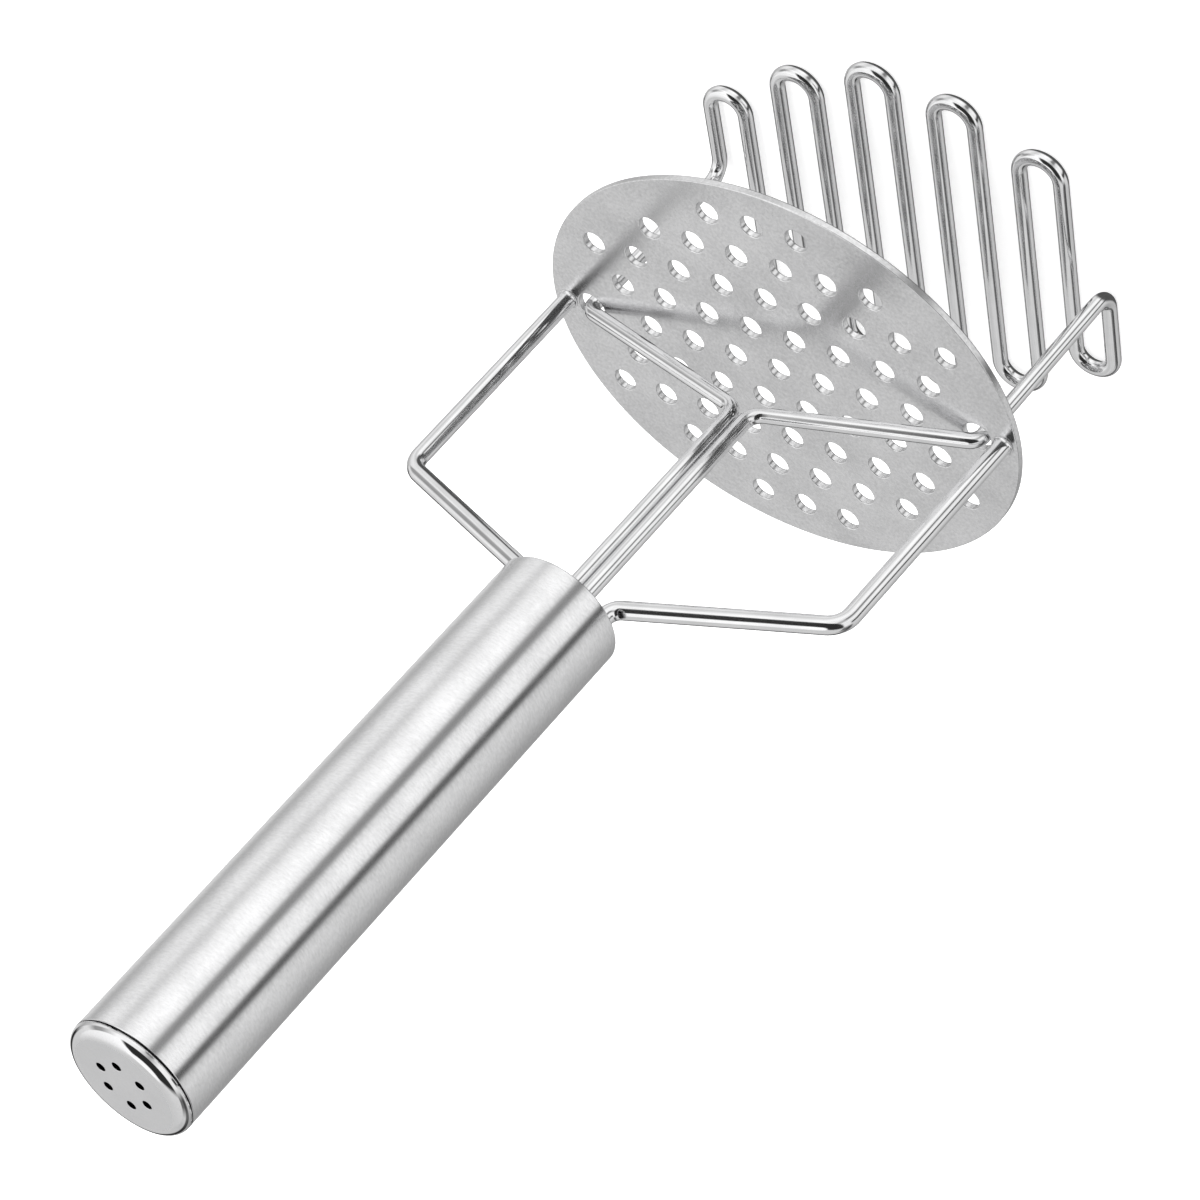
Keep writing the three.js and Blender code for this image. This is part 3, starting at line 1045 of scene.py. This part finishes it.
@dataclass
class Masher:
    """The sliding wire, from the handle through the plate to its zigzag, and the plunger on its ends.

    Args:
        wire: its diameter.
        play: how far to +X it sits in its clearances.
        leg_x: distance of its legs from the axis.
        leg_bend: radius of the bend from leg to zigzag.
        pitch: between two runs of the zigzag, but for the end ones, which stand at the legs.
        arm_lift: height above the plate of the corner between arm and leg.
        arm_slope: fall of an arm per millimetre outwards.
        arm_bend: radius of the bend from arm to leg.
        neck_bend: radius of the bend from the pair to an arm.
        pair_x: distance of the pair's wires from the axis.
        tips: reach of the loops, first to last.
        lean: how far a run leans to +X per millimetre of +Y.
        tip_flat: straight bit at a loop's tip.
    """

    wire: float = 3.1
    play: float = 0.5
    leg_x: float = 44.25
    leg_bend: float = 4.0
    pitch: float = 9.0
    arm_lift: float = 1.1192
    arm_slope: float = 0.266
    arm_bend: float = 2.6
    neck_bend: float = 3.6
    pair_x: float = 1.7
    tips: tuple[float, ...] = (20.78, 31.2, 37.49, 35.4, 28.0)
    lean: float = 0.035
    tip_flat: float = 0.2

    def side(self, side: int) -> list[Corner]:
        """The corners from the zigzag's end run up one leg and arm to the wire's end in the handle.

        Args:
            side: 1 for the leg at +X and -1 for the one at -X.

        Returns:
            The corners in order.
        """
        plate = Span.of("perforated_plate").high[2]
        arm_foot = plate + self.arm_lift
        arm_head = arm_foot + self.arm_slope * (self.leg_x - self.pair_x)
        x = side * self.leg_x + self.play
        pair = side * self.pair_x + self.play
        return [
            Corner(x, 0, self.wire / 2, self.leg_bend),
            Corner(x, 0, arm_foot, self.arm_bend),
            Corner(pair, 0, arm_head, self.neck_bend),
            Corner(pair, 0, Span.of("masher_wire").high[2]),
        ]

    def zigzag(self) -> list[Corner]:
        """The corners of the runs and loops: loop k joins runs k and k + 1, at +Y and -Y by turns.

        Returns:
            The corners in order.
        """
        count = len(self.tips)
        runs = np.clip((np.arange(2 * count + 1) - count) * self.pitch, -self.leg_x, self.leg_x)
        bends = (np.diff(runs) - self.tip_flat) / 2
        reach = [
            self.tips[k // 2] if k % 2 == 0 else -self.tips[count - 1 - k // 2] for k in range(2 * count)
        ]
        return [
            Corner(runs[run] + self.lean * y + self.play, y, self.wire / 2, bends[k])
            for k, y in enumerate(reach)
            for run in (k, k + 1)
        ]

    def build(self) -> None:
        """Makes the wire, and gives the plunger its finish."""
        corners = [*reversed(self.side(-1)), *self.zigzag(), *self.side(1)]
        skin = BentWire(self.wire, corners).skin()
        place_piece(skin, "wire_masher", Body.MASHER, Slot.WIRE, "masher_wire")
        refinish("plunger", Slot.NYLON)


@dataclass
class ReturnSpring:
    """The compression spring between plunger and seat.

    Args:
        wire: its diameter.
        turns: coils in all.
        dead_turns: close-wound coils, half of them at each end.
        fit: gap beside the close-wound coils.
        per_turn: rings in each coil.
        travel: how far the masher slides; not used.
    """

    wire: float = 1.5
    turns: int = 15
    dead_turns: int = 2
    fit: float = 0.3
    per_turn: int = 40
    travel: float = 40.0

    def build(self) -> None:
        """Makes the spring.

        At turn n the point is (r cos 2 pi n, r sin 2 pi n, z), and z rises by one wire and a gap a turn in the
        close-wound coils and evenly in the open ones.
        """
        box = Span.of("return_spring")
        radius = (box.size[1] - self.wire) / 2
        foot, head = box.low[2] + self.wire / 2, box.high[2] - self.wire / 2
        dead_rise = self.wire + self.fit
        turns = np.linspace(0, self.turns, self.turns * self.per_turn + 1)
        open_turns = self.turns - self.dead_turns
        share = np.clip((turns - self.dead_turns / 2) / open_turns, 0, 1)
        rise = head - foot - self.dead_turns * dead_rise
        height = foot + (turns - share * open_turns) * dead_rise + share * rise
        angle = TURN * turns
        spokes = np.stack((np.cos(angle), np.sin(angle), np.zeros_like(angle)), axis=1)
        centres = radius * spokes + np.outer(height, (0, 0, 1))
        ways = np.gradient(centres, axis=0)
        ways = unit(ways - spokes * (ways * spokes).sum(axis=1)[:, None])
        skin = swept(centres, ways, spokes, self.wire / 2, 14)
        piece = place_piece(skin, "coil_spring", Body.HANDLE, Slot.SPRING, "return_spring")
        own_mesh(piece)


# ---- studio


@dataclass
class Studio:
    """Floor, backdrop, light and camera.

    Args:
        eye: the camera's place, in millimetres.
        aim: the point that it looks at.
        roll: how far it is turned about its line of sight, in degrees.
        lens: its focal length, for a 36 mm sensor.
        floor_radius: where the floor starts to rise into the backdrop, in metres.
        wall_height: height of the backdrop.
        low_ring: brightness of the tent below the horizon, as (degrees, brightness), with the angle counted from
            the camera's side.
        high_ring: the same above the horizon.
        crown_ring: the same above the high ring, up to the zenith.
        back_band: share of a dark band along the horizon, opposite the camera.
        brightest: the brightness that a ramp's 1 stands for.
        lamp_size: width of the lamp, in metres.
        lamp_height: its height.
        lamp_power: its power, in watts.
    """

    eye: tuple[float, float, float] = (406.24, 525.87, 506.20)
    aim: tuple[float, float, float] = (3.33, -2.54, 109.0)
    roll: float = -137.75
    lens: float = 129.75
    floor_radius: float = 2.5
    wall_height: float = 3.0
    low_ring: tuple[tuple[float, float], ...] = (
        (-180, 0.80), (-158, 0.34), (-130, 0.42), (-100, 0.64), (-75, 0.80), (-62, 0.72), (-56, 0.05),
        (-47, 0.05), (-42, 0.95), (-25, 1.10), (-8, 0.92), (-3, 0.24), (8, 0.24), (13, 1.00), (30, 1.24),
        (50, 1.10), (68, 0.72), (84, 0.98), (100, 0.92), (118, 0.62), (132, 0.48), (150, 0.72), (180, 0.80),
    )
    high_ring: tuple[tuple[float, float], ...] = (
        (-180, 0.67), (-150, 0.60), (-125, 0.70), (-100, 0.16), (-86, 0.16), (-60, 1.00), (-20, 1.10),
        (0, 0.45), (20, 1.05), (60, 1.20), (90, 0.40), (104, 0.35), (120, 0.90), (150, 0.76), (180, 0.67),
    )
    crown_ring: tuple[tuple[float, float], ...] = (
        (-180, 0.67), (-84, 0.80), (-66, 0.03), (48, 0.03), (56, 1.25), (140, 1.00), (180, 0.67),
    )
    back_band: tuple[tuple[float, float], ...] = (
        (-180, 1.0), (-150, 1.0), (-115, 0.75), (-85, 0.75), (-70, 0.0), (128, 0.0), (150, 1.0), (180, 1.0),
    )
    brightest: float = 1.25
    lamp_size: float = 2.4
    lamp_height: float = 1.8
    lamp_power: float = 26.0

    def camera(self) -> None:
        """The camera: its right is the level right turned by the roll about the line of sight."""
        data = bpy.data.cameras.new("camera")
        data.lens = self.lens
        data.sensor_width = SENSOR
        data.clip_start, data.clip_end = CLIP
        camera = bpy.data.objects.new("camera", data)
        eye, aim = np.array(self.eye) * MM, np.array(self.aim) * MM
        forward = unit(aim - eye)
        level = unit(np.cross(forward, (0, 0, 1)))
        roll = math.radians(self.roll)
        right = math.cos(roll) * level + math.sin(roll) * np.cross(level, forward)
        turn = Matrix(np.stack((right, np.cross(right, forward), -forward), axis=1).tolist())
        camera.matrix_world = Matrix.LocRotScale(Vector(eye), turn.to_quaternion(), None)
        bpy.context.scene.collection.objects.link(camera)
        bpy.context.scene.camera = camera

    def backdrop(self) -> None:
        """A pale floor that curves up into a wall, seen by the camera only."""
        radii = self.floor_radius * np.array(FLOOR_RINGS)
        bend = np.linspace(0, math.pi / 2, WALL_STEPS + 1)[1:]
        profile = np.vstack(
            (
                np.stack((radii, np.zeros_like(radii)), axis=1),
                np.stack((self.floor_radius + np.sin(bend), 1 - np.cos(bend)), axis=1),
                ((self.floor_radius + 1, self.wall_height),),
            )
        )
        floor = revolved(profile / MM, FLOOR_SIDES).build("floor")
        floor.data.materials.append(self.floor_finish())
        floor.data.flip_normals()
        for ray in ("glossy", "diffuse", "shadow", "transmission"):
            setattr(floor, f"visible_{ray}", False)

    @staticmethod
    def floor_finish() -> bpy.types.Material:
        """Matt white paper, lit a little from behind."""
        material = bpy.data.materials.new("white_paper")
        graph = Graph(material)
        paper = {"Base Color": (0.9, 0.9, 0.9, 1.0), "Roughness": 0.9, "Specular IOR Level": 0.0}
        graph.surface(paper | {"Emission Color": (1.0, 1.0, 1.0, 1.0), "Emission Strength": PAPER_GLOW})
        return material

    def ring(self, graph: Graph, angle: Sig, stops: Sequence[tuple[float, float]]) -> Sig:
        """A ring's brightness at an angle.

        Args:
            graph: the world's nodes.
            angle: in turns, with the camera's side at 0.5.
            stops: the ring's (degrees, brightness) pairs.

        Returns:
            The brightness.
        """
        made = graph.node("ShaderNodeValToRGB", {}, {0: angle})
        elements = made.node.color_ramp.elements
        while len(elements) < len(stops):
            elements.new(1.0)
        for element, (degrees, brightness) in zip(elements, stops):
            element.position = (degrees + 180) / 360
            element.color = (*[brightness / self.brightest] * 3, 1.0)
        return made.out(0) * self.brightest

    def tent(self) -> None:
        """The light tent: soft panels and dark gaps round the object, a bright top and a darker foot."""
        world = bpy.data.worlds.new("light_tent")
        bpy.context.scene.world = world
        graph = Graph(world)
        x, y, z = graph.axes(graph.node("ShaderNodeTexCoord").out("Generated"))
        side = math.atan2(self.eye[1], self.eye[0])
        angle = ((y.math("ARCTAN2", x) - side) / TURN + 1.5).math("FRACT")
        low, high, crown, back = (
            self.ring(graph, angle, stops)
            for stops in (self.low_ring, self.high_ring, self.crown_ring, self.back_band)
        )
        above, over, top = z.step(*HORIZON), z.step(*CROWN), z.step(*TOP)
        band = back * z.step(*BAND_FOOT) * (1 - z.step(*BAND_HEAD))
        under = z.step(*GROUND)
        tent = (low * (1 - above) + high * above) * (1 - over) + crown * over
        tent = tent * (1 - top) + top * TOP_LIGHT
        tent = tent * (1 - band) + band * BAND_LIGHT
        tent = tent * under + (1 - under) * GROUND_LIGHT
        background = graph.node("ShaderNodeBackground", {}, {"Color": tent, "Strength": 1.0})
        graph.node("ShaderNodeOutputWorld", {}, {"Surface": background.out(0)})

    def lamp(self) -> None:
        """A wide soft lamp over the floor, which shows in no reflection."""
        data = bpy.data.lights.new("overhead", "AREA")
        data.shape = "DISK"
        data.size = self.lamp_size
        data.energy = self.lamp_power
        lamp = bpy.data.objects.new("overhead", data)
        lamp.location = (0.0, 0.0, self.lamp_height)
        lamp.visible_glossy = False
        lamp.visible_camera = False
        bpy.context.scene.collection.objects.link(lamp)

    def build(self) -> None:
        """Sets up the studio."""
        self.camera()
        self.backdrop()
        self.tent()
        self.lamp()
        bpy.context.scene.view_settings.view_transform = "Standard"


def main() -> None:
    """Builds the studio and the ricer."""
    logging.basicConfig(level=logging.INFO, format="%(message)s")
    builders: Sequence[Callable[[], None]] = (
        Studio().build, Handle().build, Frame().build, Masher().build, ReturnSpring().build,
    )
    for build in builders:
        build()


if __name__ == "__main__":
    main()
